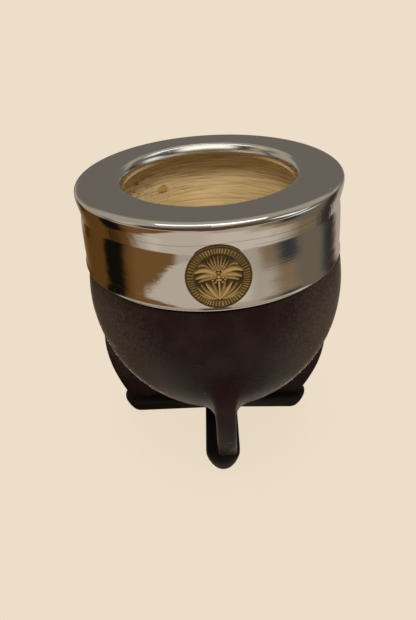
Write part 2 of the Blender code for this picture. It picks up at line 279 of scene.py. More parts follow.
def ring_body(name, rings, poles, look):
    """Join rings (rows, columns, 3) of points in millimetres into one closed, smooth body.

    With poles, the first and the last ring close to those points; without, the last ring joins the
    first one, as on a tube bent into a hoop. Faces are turned outwards.
    """
    rows, columns, _ = rings.shape
    number = np.arange(rows * columns).reshape(rows, columns)
    after = np.roll(number, -1, axis=1)
    quads = np.stack([number, after, np.roll(after, -1, axis=0), np.roll(number, -1, axis=0)], axis=-1)
    points, triangles = rings.reshape(-1, 3), np.empty((0, 3), dtype=int)
    if poles is not None:
        quads = quads[:-1]
        low, high = (np.full(columns, rows * columns + pole) for pole in range(2))
        closing = (after[0], number[0], low), (number[-1], after[-1], high)
        triangles = np.concatenate([np.stack(corners, axis=-1) for corners in closing])
        points = np.concatenate([points, np.array(poles, dtype=float)])
    points, quads = points * MM, quads.reshape(-1, 4)
    if sum(triangle_volume(points, part) for part in (quads[:, :3], quads[:, [0, 2, 3]], triangles)) < 0.0:
        quads, triangles = quads[:, ::-1], triangles[:, ::-1]
    piece = new_mesh(name, points.tolist(), quads.tolist() + triangles.tolist(), look)
    piece.data.shade_smooth()
    return piece


def around(radius, azimuth, height):
    """Points of the given radius, azimuth and height: x = r sin(azimuth), y = -r cos(azimuth)."""
    parts = np.broadcast_arrays(radius * np.sin(azimuth), -radius * np.cos(azimuth), height)
    return np.stack(parts, axis=-1)


def turn_profile(profile, azimuths):
    """Carry a profile of (radius, height) round the axis."""
    return around(profile[:, :1], azimuths, profile[:, 1:])


def arc(centre, radii, start, end, count):
    """Points of an ellipse's arc; angles in degrees, 0 outwards and 90 upwards."""
    angles = np.radians(np.linspace(start, end, count))
    across = centre[0] + radii[0] * np.cos(angles)
    up = centre[1] + radii[1] * np.sin(angles)
    return np.stack([across, up], axis=1)


def even(start, end, count):
    """Even points from start up to, but not at, end."""
    return np.linspace(start, end, count, endpoint=False)


def waves(azimuth, height, seed, count, slowest, fastest):
    """Sum of sine waves of random directions round and up a turned piece, between -1 and 1 or so.

    Each wave goes round a whole number of times, so that the seam closes.
    """
    chance = np.random.default_rng(seed)
    total = np.zeros(np.broadcast(azimuth, height).shape)
    for _ in range(count):
        turns = chance.integers(-fastest, fastest + 1)
        rise = chance.uniform(-1.0, 1.0) * fastest / WAVE_RADIUS
        size = slowest / max(slowest, math.hypot(turns, rise * WAVE_RADIUS))
        total = total + size * np.sin(turns * azimuth + rise * height + chance.uniform(0.0, WAVE_PHASES))
    return total / math.sqrt(count)


# Material nodes

def feed(tree, socket, value):
    """Link an input to a node's output, or set it; a colour of three values gets its alpha."""
    if isinstance(value, bpy.types.NodeSocket):
        tree.links.new(value, socket)
    elif socket.type == "RGBA" and len(value) == 3:
        socket.default_value = (*value, 1.0)
    else:
        socket.default_value = value


def add_node(tree, kind, inputs=None, **settings):
    """Add a node, set its properties, then link or set its inputs by name or number."""
    node = tree.nodes.new(kind)
    for name, value in settings.items():
        setattr(node, name, value)
    for name, value in (inputs or {}).items():
        feed(tree, node.inputs[name], value)
    return node


def calc(tree, operation, *values):
    """A Math node's result."""
    return add_node(tree, "ShaderNodeMath", dict(enumerate(values)), operation=operation).outputs[0]


def times(tree, product, *values):
    """All values multiplied."""
    for value in values:
        product = calc(tree, "MULTIPLY", product, value)
    return product


def long_side(tree, first, second):
    """Root of two squares added."""
    return calc(tree, "SQRT", calc(tree, "ADD", times(tree, first, first), times(tree, second, second)))


def vector_math(tree, operation, *values):
    """A Vector Math node's outputs."""
    return add_node(tree, "ShaderNodeVectorMath", dict(enumerate(values)), operation=operation).outputs


def rise(tree, value, start, end, low=0.0, high=1.0, kind="SMOOTHSTEP"):
    """Smoothly from low to high while value goes from start to end."""
    inputs = {"Value": value, "From Min": start, "From Max": end, "To Min": low, "To Max": high}
    return add_node(tree, "ShaderNodeMapRange", inputs, interpolation_type=kind).outputs[0]


def blend(tree, factor, first, second):
    """Mix two colours."""
    return add_node(tree, "ShaderNodeMix", {0: factor, 6: first, 7: second}, data_type="RGBA").outputs[2]


def ramp(tree, factor, stops):
    """Colour ramp of (place, colour) stops."""
    node = add_node(tree, "ShaderNodeValToRGB", {"Fac": factor})
    scale = node.color_ramp
    while len(scale.elements) < len(stops):
        scale.elements.new(0.5)
    for element, (place, colour) in zip(scale.elements, stops):
        element.position = place
        element.color = (*colour, 1.0)
    return node.outputs[0]


def noise(tree, vector, scale, detail=2.0, rough=0.5, output=0):
    """Noise texture over a vector."""
    values = {"Vector": vector, "Scale": scale, "Detail": detail, "Roughness": rough}
    return add_node(tree, "ShaderNodeTexNoise", values).outputs[output]


def stretched(tree, vector, scale):
    """Vector scaled on each axis."""
    return add_node(tree, "ShaderNodeMapping", {"Vector": vector, "Scale": scale}).outputs[0]


def axes(tree, vector):
    """X, Y and Z of a vector."""
    return add_node(tree, "ShaderNodeSeparateXYZ", {0: vector}).outputs


def polar(tree, vector):
    """Azimuth in degrees from the front, distance from the axis, and height of a vector."""
    parts = axes(tree, vector)
    azimuth = calc(tree, "ARCTAN2", parts["X"], times(tree, parts["Y"], -1.0))
    return times(tree, azimuth, 180.0 / math.pi), long_side(tree, parts["X"], parts["Y"]), parts["Z"]


def near_spot(tree, place, azimuth, radius, height, size, edge):
    """1 within size (across, up) of a place on a wall, given by azimuth, radius and height; ragged border."""
    turn = math.radians(azimuth)
    centre = (radius * math.sin(turn) * MM, -radius * math.cos(turn) * MM, height * MM)
    scale = (1.0 / (size[0] * MM), 1.0 / (size[0] * MM), 1.0 / (size[1] * MM))
    off = vector_math(tree, "SUBTRACT", place, centre)[0]
    far = vector_math(tree, "LENGTH", vector_math(tree, "MULTIPLY", off, scale)[0])["Value"]
    ragged = calc(tree, "MULTIPLY_ADD", noise(tree, place, 900.0), 0.9, calc(tree, "SUBTRACT", far, 0.45))
    return rise(tree, ragged, 1.0 - edge, 1.0 + edge, 1.0, 0.0)


def object_place(tree):
    """Object coordinates."""
    return add_node(tree, "ShaderNodeTexCoord").outputs["Object"]


def new_look(name):
    """Material with its Principled shader wired to the output, its tree and that shader."""
    look = bpy.data.materials.new(name)
    look.use_nodes = True
    tree = look.node_tree
    return look, tree, tree.nodes["Principled BSDF"]


def empty_tree(owner):
    """A material's or a world's node tree with nothing in it."""
    owner.use_nodes = True
    owner.node_tree.nodes.clear()
    return owner.node_tree


def set_shader(tree, shader, **values):
    """Set or link the shader's sockets; underscores stand for spaces."""
    for name, value in values.items():
        feed(tree, shader.inputs[name.replace("_", " ")], value)


def bump(tree, height, strength, distance, before=None):
    """Normal of a relief, on top of another normal where one is given."""
    inputs = {"Height": height, "Strength": strength, "Distance": distance}
    if before is not None:
        inputs["Normal"] = before
    return add_node(tree, "ShaderNodeBump", inputs).outputs[0]


def turned_lines(tree, given):
    """Fine level lines round a turned piece: noise drawn out sideways, in two sizes."""
    sides, up = given["Sideways"], given["Upwards"]
    scale = add_node(tree, "ShaderNodeCombineXYZ", {"X": sides, "Y": sides, "Z": up}).outputs[0]
    drawn = vector_math(tree, "MULTIPLY", given["Vector"], scale)[0]
    return {"Height": calc(tree, "MULTIPLY_ADD", noise(tree, drawn, 3.1), 0.5, noise(tree, drawn, 1.0, 1.0))}


def specks(tree, given):
    """Small scattered specks: the inner part of some cells of a cell texture."""
    values = {"Vector": given["Vector"], "Scale": given["Scale"]}
    cells = add_node(tree, "ShaderNodeTexVoronoi", values).outputs
    near = calc(tree, "LESS_THAN", cells["Distance"], given["Size"])
    red = add_node(tree, "ShaderNodeSeparateColor", {0: cells["Color"]}).outputs[0]
    return {"Mask": times(tree, near, calc(tree, "LESS_THAN", red, given["Share"]))}


def leather_grain(tree, given):
    """Smooth leather: fine pores, short creases that wander, and a slow mottling."""
    place = given["Vector"]
    pores = noise(tree, place, given["Pores"], 3.0, 0.6)
    wander = vector_math(tree, "MULTIPLY", noise(tree, place, 60.0, output=1), (0.012, 0.012, 0.012))[0]
    wave = noise(tree, vector_math(tree, "ADD", place, wander)[0], given["Creases"])
    away = calc(tree, "ABSOLUTE", calc(tree, "SUBTRACT", wave, 0.5))
    stretches = rise(tree, noise(tree, place, 110.0, 1.0), 0.52, 0.60)
    crease = times(tree, rise(tree, away, 0.0, 0.015, 1.0, 0.0), stretches)
    height = calc(tree, "MULTIPLY_ADD", crease, -0.8, times(tree, pores, 0.5))
    return {"Height": height, "Mottling": noise(tree, place, 90.0, 4.0, 0.6)}


# Shared effects: the function that fills the group, its inputs with their defaults, its outputs
GROUPS = {
    "Turned lines": (turned_lines, {"Sideways": 20.0, "Upwards": 900.0}, ("Height",)),
    "Specks": (specks, {"Scale": 300.0, "Share": 0.1, "Size": 0.2}, ("Mask",)),
    "Leather grain": (leather_grain, {"Pores": 1400.0, "Creases": 55.0}, ("Height", "Mottling")),
}


def new_group(name):
    """Make one of the shared groups, with a Vector input before its own."""
    fill, inputs, outputs = GROUPS[name]
    tree = bpy.data.node_groups.new(name, "ShaderNodeTree")
    tree.interface.new_socket("Vector", in_out="INPUT", socket_type="NodeSocketVector")
    for label, value in inputs.items():
        tree.interface.new_socket(label, in_out="INPUT", socket_type="NodeSocketFloat").default_value = value
    for label in outputs:
        tree.interface.new_socket(label, in_out="OUTPUT", socket_type="NodeSocketFloat")
    results = fill(tree, tree.nodes.new("NodeGroupInput").outputs)
    add_node(tree, "NodeGroupOutput", results)
    return tree


def use_group(tree, name, **inputs):
    """Outputs of a shared group, made at its first use, with its inputs set or linked."""
    group = bpy.data.node_groups.get(name) or new_group(name)
    return add_node(tree, "ShaderNodeGroup", inputs, node_tree=group).outputs


# Leather skin

def leg_reach(height, widest, foot):
    """Outer edge of a leg: widest at one height, less by a square above it and by a power below."""
    above = np.maximum(height - LEG_WIDEST_Z, 0.0)
    below = np.maximum(LEG_WIDEST_Z - height, 0.0) / (LEG_WIDEST_Z - SOLE_THICK - GAP)
    return widest - LEG_RELEASE * above ** 2 - (widest - foot) * below ** LEG_CURVE


def soft_union(first, second, width):
    """Smaller of two distances, rounded over the given width where they meet."""
    share = np.clip(0.5 + 0.5 * (second - first) / width, 0.0, 1.0)
    return second + (first - second) * share - width * share * (1.0 - share)


def leather_distance(x, y, z):
    """Distance to the skin: a belly of two half ellipsoids, softly joined with four upright legs."""
    half = np.where(z < BELLY_WIDEST_Z, BELLY_LOW_HALF, BELLY_HIGH_HALF)
    level = (z - BELLY_WIDEST_Z) / half
    reach = np.hypot(x - BELLY_SHIFT, y) / BELLY_RADIUS
    size = np.hypot(reach, level)
    slope = np.hypot(reach / BELLY_RADIUS, level / half)
    found = size * (size - 1.0) / np.maximum(slope, 1e-9)
    for _, azimuth, shift, widest, foot in LEGS:
        turn = math.radians(azimuth)
        along = x * math.sin(turn) - y * math.cos(turn)
        across = x * math.cos(turn) + y * math.sin(turn) - shift
        sides = np.abs(across) - (LEG_HALF_WIDTH - LEG_EDGE)
        tip = np.maximum(along - leg_reach(z, widest, foot) + LEG_EDGE, -along)
        outside = np.hypot(np.maximum(sides, 0.0), np.maximum(tip, 0.0))
        leg = outside + np.minimum(np.maximum(sides, tip), 0.0) - LEG_EDGE
        found = soft_union(found, leg, LEG_FILLET)
    return np.maximum(found, SOLE_THICK + GAP - z)


def spread_azimuths(near_leg, between):
    """Azimuths in radians once round, close together at the legs and even between them."""
    legs = sorted(leg[1] % 360.0 for leg in LEGS)
    angles = []
    for leg, following in zip(legs, legs[1:] + [legs[0] + 360.0]):
        angles.append(leg + near_leg[:-1])
        angles.append(np.linspace(leg + near_leg[-1], following - near_leg[-1], between))
        angles.append(following - near_leg[-2:0:-1])
    return np.radians(np.concatenate(angles))


def skin_rings(azimuths, heights):
    """Where level rays from the axis leave the skin: halving the stretch that holds the surface."""
    side, front = np.sin(azimuths)[None, :], -np.cos(azimuths)[None, :]
    level = heights[:, None] + np.zeros_like(side)
    near = np.zeros_like(level)
    far = np.full_like(level, 2.0 * BELLY_RADIUS)
    for _ in range(RAY_HALVINGS):
        middle = 0.5 * (near + far)
        inside = leather_distance(middle * side, middle * front, level + RAY_LIFT) < 0.0
        near = np.where(inside, middle, near)
        far = np.where(inside, far, middle)
    return near, level


def belly_line(inset, top, count):
    """Profile of the belly, drawn in by inset, from a height down to the axis."""
    radius = BELLY_RADIUS - inset
    low, high = BELLY_LOW_HALF - inset, BELLY_HIGH_HALF - inset
    upper = np.linspace(top, BELLY_WIDEST_Z, 12)[:-1]
    round_part = radius * np.sqrt(1.0 - ((upper - BELLY_WIDEST_Z) / high) ** 2)
    lower = arc((0.0, BELLY_WIDEST_Z), (radius, low), 0.0, -90.0, count)
    return np.concatenate([np.stack([round_part, upper], axis=1), lower])


def leather_look(settings):
    """Dark waxed leather: pores, creases, pits and mottling, painted shade (darker, redder) in the hollow
    over the front leg, and painted sheen (paler, speckled) at the sides.
    """
    look, tree, shader = new_look("Dark leather")
    place = object_place(tree)
    grain = use_group(tree, "Leather grain", Vector=place, Pores=1300.0, Creases=85.0)
    pits = use_group(tree, "Specks", Vector=place, Scale=420.0, Share=0.07, Size=0.16)["Mask"]
    mixed = blend(tree, rise(tree, grain["Mottling"], 0.35, 0.7), settings.leather_colour,
                  settings.leather_worn)
    # Painted shade: a darker, redder patch in the hollow over the front leg, where the skin faces down; the
    # same patch is also made rougher
    hollow = near_spot(tree, place, *HOLLOW_SHADE_SPOT)
    mixed = blend(tree, times(tree, hollow, 0.8), mixed, settings.leather_hollow_shade)
    # Painted sheen: paler, speckled patches on the left and right sides, standing in for the skin's
    # reflection of the room
    sides = calc(tree, "MAXIMUM", near_spot(tree, place, *LEFT_SHEEN_SPOT), near_spot(tree, place, *RIGHT_SHEEN_SPOT))
    sheen_speckle = rise(tree, noise(tree, place, 1500.0, 3.0, 0.6), 0.40, 0.62, 0.5, 1.0)
    mixed = blend(tree, times(tree, sides, sheen_speckle), mixed, settings.leather_painted_sheen)
    rub = rise(tree, noise(tree, place, 25.0, 3.0), 0.45, 0.7)
    gloss = calc(tree, "MULTIPLY_ADD", rub, 0.12, settings.leather_roughness)
    gloss = calc(tree, "MULTIPLY_ADD", hollow, 0.3, gloss)
    relief = calc(tree, "MULTIPLY_ADD", pits, -0.6, grain["Height"])
    set_shader(tree, shader, Base_Color=mixed, Roughness=gloss, Specular_IOR_Level=0.2,
               Sheen_Weight=settings.leather_sheen, Sheen_Roughness=0.16, Sheen_Tint=(1.0, 0.88, 0.8),
               Normal=bump(tree, relief, 0.45, 0.0004))
    return look


def make_leather(settings):
    """The skin: outside found on rays from the axis, pressed in under the band, then its lining."""
    near = np.concatenate([np.linspace(0.0, 8.0, 17), np.linspace(9.0, 15.0, 7)])
    azimuths = spread_azimuths(near, 56)
    bottom = SOLE_THICK + GAP
    lowest = BELLY_WIDEST_Z - BELLY_LOW_HALF
    legs = even(bottom, lowest, 12)
    belly = BELLY_WIDEST_Z - BELLY_LOW_HALF * np.sin(np.radians(np.linspace(89.0, 0.0, 90)))
    high = np.linspace(BELLY_WIDEST_Z, TUCK_Z - TUCK_STEP, 24)[1:]
    radius, level = skin_rings(azimuths, np.concatenate([legs, belly, high]))
    dents = waves(azimuths[None, :], level, 7, 24, 3, 9)
    fade = np.clip((level - DENTS_LOW[0]) / DENTS_LOW[1], 0.0, 1.0)
    fade = fade * np.clip((DENTS_HIGH[0] - level) / DENTS_HIGH[1], 0.0, 1.0)
    radius = radius - settings.dent_depth / MM * fade * (0.5 + 0.5 * dents)
    outside = around(radius, azimuths, level)
    lining = [(TUCK_RADIUS, TUCK_Z), (TUCK_RADIUS - 0.4 * TUCK_STEP, TUCK_Z + 0.5)]
    lining += [(TUCK_RADIUS - TUCK_STEP, LEATHER_TOP_Z), (TUCK_RADIUS - LEATHER, LEATHER_TOP_Z)]
    lining = np.concatenate([np.array(lining), belly_line(LEATHER, LINING_TOP_Z, 24)[:-1]])
    rings = np.concatenate([outside, turn_profile(lining, azimuths)])
    poles = ((0.0, 0.0, bottom), (0.0, 0.0, lowest + LEATHER))
    piece = ring_body("leather_skin", rings, poles, leather_look(settings))
    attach(piece, "root")
    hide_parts("leather_cover")


# Sole

def sole_outline(azimuths, inset):
    """Farthest of four arms with round ends, for each azimuth."""
    width = SOLE_HALF_WIDTH - inset
    radius = np.zeros_like(azimuths)
    for _, azimuth, _, _, foot in LEGS:
        off = np.abs((azimuths - math.radians(azimuth) + math.pi) % (2.0 * math.pi) - math.pi)
        sine = np.maximum(np.sin(off), 1e-6)
        hub = foot + SOLE_OVERHANG - SOLE_HALF_WIDTH
        flank = width / sine
        end = hub * np.cos(off) + np.sqrt(np.maximum(width * width - (hub * sine) ** 2, 0.0))
        reach = np.where((hub * sine < width) & (flank * np.cos(off) > hub), end, flank)
        radius = np.where(off < math.radians(89.0), np.maximum(radius, reach), radius)
    return radius


def sole_look(settings):
    """Blackened sole leather with a browner, rubbed edge low down."""
    look, tree, shader = new_look("Sole leather")
    place = object_place(tree)
    grain = use_group(tree, "Leather grain", Vector=place, Pores=1900.0, Creases=90.0)
    low = rise(tree, axes(tree, place)["Z"], 0.001, 0.006, 1.0, 0.0)
    worn = times(tree, low, rise(tree, grain["Mottling"], 0.4, 0.65))
    mixed = blend(tree, worn, settings.sole_colour, settings.sole_worn)
    set_shader(tree, shader, Base_Color=mixed, Roughness=0.6, Specular_IOR_Level=0.22,
               Normal=bump(tree, grain["Height"], 0.4, 0.0003))
    return look


def make_sole(settings):
    """The cross: its outline at each height, drawn in at the foot and rounded at the top."""
    near = np.concatenate([np.linspace(0.0, 10.0, 21), np.linspace(11.0, 20.0, 10)])
    azimuths = spread_azimuths(near, 24)
    steps = ((0.0, 3.6), (0.0, 2.9), (0.03, 2.55), (0.1, 2.2), (0.3, 1.3), (0.5, 0.65), (0.7, 0.15),
             (0.8, 0.0), (0.9, 0.05), (0.96, 0.3), (0.99, 0.6), (1.0, 1.0), (1.0, 1.6))
    rings = [around(sole_outline(azimuths, inset), azimuths, share * SOLE_THICK) for share, inset in steps]
    poles = ((0.0, 0.0, 0.0), (0.0, 0.0, SOLE_THICK))
    piece = ring_body("sole_cross", np.array(rings), poles, sole_look(settings))
    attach(piece, "root")
    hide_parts("sole")


# Gourd

def gourd_look(settings):
    """Scraped calabash: level grain lines, a darker depth, stains, one chip, scratches and cracks."""
    look, tree, shader = new_look("Scraped calabash")
    place = object_place(tree)
    fine = use_group(tree, "Turned lines", Vector=place, Sideways=55.0, Upwards=1800.0)["Height"]
    broad = use_group(tree, "Turned lines", Vector=place, Sideways=26.0, Upwards=520.0)["Height"]
    cloud = noise(tree, stretched(tree, place, (30.0, 30.0, 110.0)), 1.0, 3.0)
    dark = settings.gourd_grain
    colour = blend(tree, rise(tree, axes(tree, place)["Z"], 0.066, 0.101), settings.gourd_deep,
                   settings.gourd_colour)
    colour = blend(tree, rise(tree, fine, 0.70, 0.90, 0.0, 0.7), colour, dark)
    colour = blend(tree, rise(tree, fine, 0.45, 0.62, 0.35, 0.0), colour, settings.gourd_light)
    colour = blend(tree, rise(tree, broad, 0.76, 1.0, 0.0, 0.3), colour, dark)
    colour = blend(tree, rise(tree, cloud, 0.52, 0.78, 0.0, 0.25), colour, dark)
    cells = add_node(tree, "ShaderNodeTexVoronoi",
                     {"Vector": stretched(tree, place, (190.0, 190.0, 260.0)), "Scale": 1.0},
                     feature="DISTANCE_TO_EDGE").outputs["Distance"]
    cracks = times(tree, near_spot(tree, place, *CRACKED_SPOT), 0.7,
                   times(tree, rise(tree, cells, 0.0, 0.05, 1.0, 0.0), rise(tree, cloud, 0.35, 0.6)))
    strokes = rise(tree, noise(tree, stretched(tree, place, (300.0, 300.0, 560.0)), 1.0), 0.55, 0.62)
    scratches = times(tree, strokes, near_spot(tree, place, *SCRATCHED_SPOT), 0.7)
    marks = calc(tree, "MAXIMUM", cracks, scratches)
    colour = blend(tree, marks, colour, MARK_COLOUR)
    colour = blend(tree, times(tree, near_spot(tree, place, *CHIP_RIM), 0.8), colour, CHIP_RIM_COLOUR)
    colour = blend(tree, near_spot(tree, place, *CHIP), colour, CHIP_COLOUR)
    relief = calc(tree, "SUBTRACT", calc(tree, "MULTIPLY_ADD", fine, 0.6, broad), times(tree, marks, 0.8))
    set_shader(tree, shader, Base_Color=colour, Roughness=0.62, Specular_IOR_Level=0.3,
               Normal=bump(tree, relief, 0.35, 0.0004))
    return look


def make_gourd(settings):
    """The shell: cavity, neck, mouth, shoulder and belly in one profile, a little uneven inside."""
    inset = LEATHER + GAP
    inner = BELLY_RADIUS - inset - SHELL
    floor = BELLY_WIDEST_Z - BELLY_LOW_HALF + inset + SHELL_FLOOR
    cavity = arc((0.0, BELLY_WIDEST_Z), (inner, BELLY_WIDEST_Z - floor), -88.5, 0.0, 50)[:-1]
    upright = np.stack([np.full(4, inner), even(BELLY_WIDEST_Z, NECK_BOTTOM_Z, 4)], axis=1)
    neck_size = (inner - MOUTH_RADIUS, NECK_TOP_Z - NECK_BOTTOM_Z)
    neck = arc((MOUTH_RADIUS, NECK_BOTTOM_Z), neck_size, 0.0, 90.0, 60)
    edge = MOUTH_TOP_Z - MOUTH_CHAMFER
    top = np.array([(MOUTH_RADIUS, edge - 2.5), (MOUTH_RADIUS, edge - 1.0),
                    (MOUTH_RADIUS + MOUTH_CHAMFER, MOUTH_TOP_Z), (MOUTH_TOP_RADIUS, MOUTH_TOP_Z)])
    size = (SHOULDER_RADIUS - MOUTH_TOP_RADIUS, MOUTH_TOP_Z - 4.0 - SHOULDER_Z)
    shoulder = arc((MOUTH_TOP_RADIUS, SHOULDER_Z), size, 90.0, 0.0, 16)
    outside = belly_line(inset, LINING_TOP_Z, 40)[:-1]
    inside = np.concatenate([cavity, upright, neck])
    profile = np.concatenate([inside, top, shoulder, outside])
    azimuths = np.radians(even(0.0, 360.0, GOURD_COLUMNS))
    rings = turn_profile(profile, azimuths)
    count = len(inside)
    level = rings[:count, :, 2]
    scraped = waves(azimuths[None, :], level, 3, 30, 4, 16)
    fade = np.clip((SCRAPED_HIGH[0] - level) / SCRAPED_HIGH[1], 0.0, 1.0)
    push = 1.0 - settings.scrape_depth / MM * fade * (0.5 + 0.5 * scraped) / inner
    rings[:count, :, :2] *= push[..., None]
    poles = ((0.0, 0.0, floor), (0.0, 0.0, BELLY_WIDEST_Z - BELLY_LOW_HALF + inset))
    piece = ring_body("gourd_shell", rings, poles, gourd_look(settings))
    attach(piece, "root")
    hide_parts("gourd")


# Collar

def band_radius(drop):
    """Outside of the collar under its rim: the slopes added up from the rim down to the drop."""
    depths = np.linspace(RIM_DROP, BAND_DROP, BAND_STEPS)
    slopes = np.interp(depths, *zip(*BAND_SLOPES))
    steps = 0.5 * (slopes[1:] + slopes[:-1]) * np.diff(depths)
    return np.interp(drop, depths, RIM_RADIUS + np.concatenate([[0.0], np.cumsum(steps)]))


def rim_line(count):
    """Plate's outer part: a quarter of a squarish ellipse from the plate down to the widest line."""
    angles = np.radians(90.0 * (1.0 - np.linspace(0.0, 1.0, count)))
    out = np.cos(angles) ** (2.0 / RIM_POWER)
    up = np.clip(np.sin(angles), 0.0, 1.0) ** (2.0 / RIM_POWER)
    radius = PLATE_RADIUS + (RIM_RADIUS - PLATE_RADIUS) * out
    return np.stack([radius, HEIGHT - RIM_DROP + (RIM_DROP - PLATE_FALL) * up], axis=1)


def collar_profile():
    """Sheet outline: skirt, lip, plate, rim, neck, band and bead, then back up the inside."""
    flat = LIP_RADIUS + LIP_ACROSS
    lip_centre, roll = (flat, HEIGHT - LIP_DEEP), LIP_ACROSS + LIP_ROLL
    end, inner = HEIGHT - SKIRT_DROP - SKIRT_REACH, LIP_RADIUS - LIP_ROLL
    skirt = np.stack([np.full(4, inner), even(end, HEIGHT - LIP_DEEP, 4)], axis=1)
    lip = arc(lip_centre, (roll, LIP_DEEP), 180.0, 90.0, 44)
    share = np.linspace(0.15, 0.95, 8)
    span = PLATE_RADIUS - LIP_RADIUS - LIP_ACROSS
    plate = np.stack([flat + span * share, HEIGHT - PLATE_FALL * share ** 1.5], axis=1)
    spans = ((8.75, 10.2, 14), (10.5, 13.5, 9), (14.5, 25.0, 16), (25.4, 27.9, 12))
    drops = np.concatenate([np.linspace(RIM_DROP, 8.6, 20)[1:], *(np.linspace(*span) for span in spans)])
    band = np.stack([band_radius(drops), HEIGHT - drops], axis=1)
    centre = (float(band_radius(BAND_DROP)) - BEAD + 0.08, HEIGHT - BAND_DROP + BEAD)
    bead = arc(centre, (BEAD, BEAD), 25.0, -90.0, 9)
    back = np.linspace(BAND_DROP - 1.2, 4.2, 14)
    inner_band = np.stack([band_radius(back) - SHEET, HEIGHT - back], axis=1)
    under = np.array([(RIM_RADIUS - SHEET - 1.2, HEIGHT - SHEET - 0.4), (flat, HEIGHT - SHEET)])
    inner_lip = arc(lip_centre, (roll - SHEET, LIP_DEEP - SHEET), 90.0, 180.0, 10)[1:]
    last = np.array([(inner + SHEET, end)])
    return np.concatenate([skirt, lip, plate, rim_line(48), band, bead, inner_band, under, inner_lip, last])


def steel_look(settings):
    """Polished steel: level polish lines, a slow waviness, a faint haze, dust, and dark lines of reflected
    edges painted into its colour (painted reflection).
    """
    look, tree, shader = new_look("Polished steel")
    place = object_place(tree)
    lines = use_group(tree, "Turned lines", Vector=place, Sideways=22.0, Upwards=1500.0)["Height"]
    slow = noise(tree, stretched(tree, place, (70.0, 70.0, 130.0)), 1.0)
    haze = noise(tree, stretched(tree, place, (60.0, 60.0, 160.0)), 1.0, 3.0)
    dust = use_group(tree, "Specks", Vector=place, Scale=260.0, Share=0.05, Size=0.09)["Mask"]
    azimuth, across, height = polar(tree, place)
    bend = noise(tree, stretched(tree, place, (18.0, 18.0, 0.0)), 1.0, 1.0)
    # Painted reflection: thin dark lines of reflected edges, drawn as masks round the band
    marks = 0.0
    for drop, start, end in REFLECTED_EDGE_LINES:
        line = calc(tree, "MULTIPLY_ADD", bend, 0.004, (HEIGHT - drop - 2.0) * MM)
        off = calc(tree, "ABSOLUTE", calc(tree, "SUBTRACT", height, line))
        inside = times(tree, rise(tree, azimuth, start, start + 8.0),
                       rise(tree, azimuth, end - 8.0, end, 1.0, 0.0))
        marks = calc(tree, "MULTIPLY_ADD", rise(tree, off, 0.0, 0.00018, 0.75, 0.0), inside, marks)
    # Painted reflection: the reflected edge lines darken the steel's colour
    base = blend(tree, marks, settings.steel_colour, REFLECTED_EDGE_COLOUR)
    base = blend(tree, dust, base, DUST_COLOUR)
    scuffs = times(tree, rise(tree, noise(tree, place, 420.0, 4.0, 0.65), 0.46, 0.62),
                   rise(tree, height, (HEIGHT - 27.5) * MM, (HEIGHT - 20.0) * MM, 1.0, 0.0))
    flat = LIP_RADIUS + LIP_ACROSS
    lip = rise(tree, across, flat * MM, (flat + 1.2) * MM, 1.0, 0.0)
    rough = settings.steel_roughness
    for mask, more in ((rise(tree, haze, 0.45, 0.75), 0.05), (scuffs, 0.12), (lip, 0.12), (dust, 0.5)):
        rough = calc(tree, "MULTIPLY_ADD", mask, more, rough)
    below = rise(tree, height, (HEIGHT - 11.0) * MM, (HEIGHT - 8.5) * MM, 1.0, 0.25)
    combed = times(tree, below, rise(tree, haze, 0.3, 0.6, 0.4, 1.0), lines)
    normal = bump(tree, combed, settings.polish_lines, 0.00002, bump(tree, slow, 0.5, 0.00005))
    set_shader(tree, shader, Base_Color=base, Metallic=1.0, Roughness=rough, Normal=normal)
    return look


def make_collar(settings):
    """The collar: its sheet outline carried round the axis."""
    azimuths = np.radians(even(0.0, 360.0, COLLAR_COLUMNS))
    rings = turn_profile(collar_profile(), azimuths)
    piece = ring_body("steel_collar", rings, None, steel_look(settings))
    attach(piece, "root")
    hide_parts("collar")


# Medallion

def leaf(x, y, points, width, taper):
    """Rounded ridge along a bent line, widest in its middle; 1 on its crest and 0 beside it."""
    t = np.linspace(0.0, 1.0, 28)
    start, bend, end = np.array(points)
    line = np.outer((1 - t) ** 2, start) + np.outer(2 * t * (1 - t), bend) + np.outer(t ** 2, end)
    half = width * (1.0 - taper + taper * np.sin(np.pi * np.clip(t * 0.9 + 0.05, 0.0, 1.0)))
    away = np.hypot(x[..., None] - line[:, 0], y[..., None] - line[:, 1]) / half
    return np.sqrt(np.clip(1.0 - away.min(axis=-1) ** 2, 0.0, 1.0))


